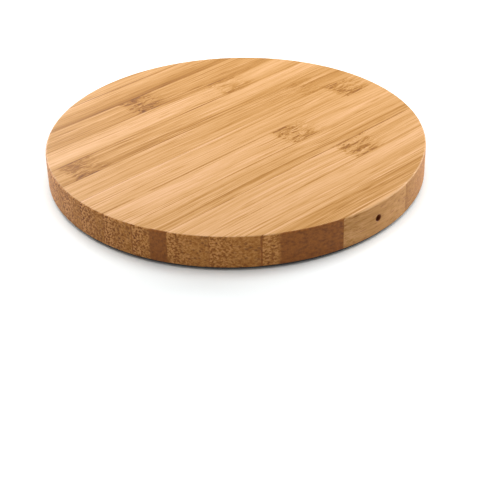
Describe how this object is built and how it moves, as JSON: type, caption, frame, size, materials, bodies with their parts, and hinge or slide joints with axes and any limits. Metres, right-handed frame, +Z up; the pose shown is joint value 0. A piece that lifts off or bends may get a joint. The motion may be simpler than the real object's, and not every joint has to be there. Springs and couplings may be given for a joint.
{
  "type": "wireless charging pad",
  "caption": "Round laminated bamboo wireless charging pad, flat on top, with an indicator hole in its rim, a USB-C port behind and a screwed cover below.",
  "frame": {"origin": "centre of the round underside, in the plane that the four feet stand on", "axes": "+Z up through the charging face, -Y towards the indicator hole, +Y towards the USB-C port, X along the bamboo strips"},
  "size_m": [0.09, 0.09, 0.0084],
  "materials": {
    "bamboo": "side-pressed laminated bamboo, sanded and thinly oiled",
    "cover_plastic": "fine spark-eroded black",
    "label_film": "blank grey polyester film",
    "silicone_foot": "matt dark grey silicone",
    "screw_steel": "zinc plated",
    "board_laminate": "green solder mask",
    "port_steel": "nickel plated",
    "port_plastic": "black moulding",
    "led_resin": "milky resin",
    "chip_resin": "moulded black resin",
    "chip_ceramic": "fired tan ceramic with tinned ends",
    "tape": "double-sided adhesive tape",
    "ferrite": "sintered dark grey",
    "litz_wire": "copper litz, silk served"
  },
  "bodies": {
    "root": {"bamboo_body": "bamboo", "bottom_cover": "cover_plastic", "rating_label": "label_film", "foot_front": "silicone_foot", "foot_rear": "silicone_foot", "foot_left": "silicone_foot", "foot_right": "silicone_foot", "cover_screw_front_left": "screw_steel", "cover_screw_front_right": "screw_steel", "cover_screw_rear_left": "screw_steel", "cover_screw_rear_right": "screw_steel", "circuit_board": "board_laminate", "usb_shell": "port_steel", "usb_insulator": "port_plastic", "indicator_led": "led_resin", "charge_controller": "chip_resin", "crystal": "chip_resin", "voltage_regulator": "chip_resin", "power_inductor": "chip_resin", "fuse": "chip_ceramic", "thermistor": "chip_ceramic", "input_capacitor_1": "chip_ceramic", "input_capacitor_2": "chip_ceramic", "mosfet_1": "chip_resin", "mosfet_2": "chip_resin", "mosfet_3": "chip_resin", "mosfet_4": "chip_resin", "resonance_capacitor_1": "chip_ceramic", "resonance_capacitor_2": "chip_ceramic", "resonance_capacitor_3": "chip_ceramic", "resonance_capacitor_4": "chip_ceramic", "shield_tape": "tape", "ferrite_shield": "ferrite", "transmitter_coil": "litz_wire", "coil_tape": "tape"}
  },
  "joints": []
}
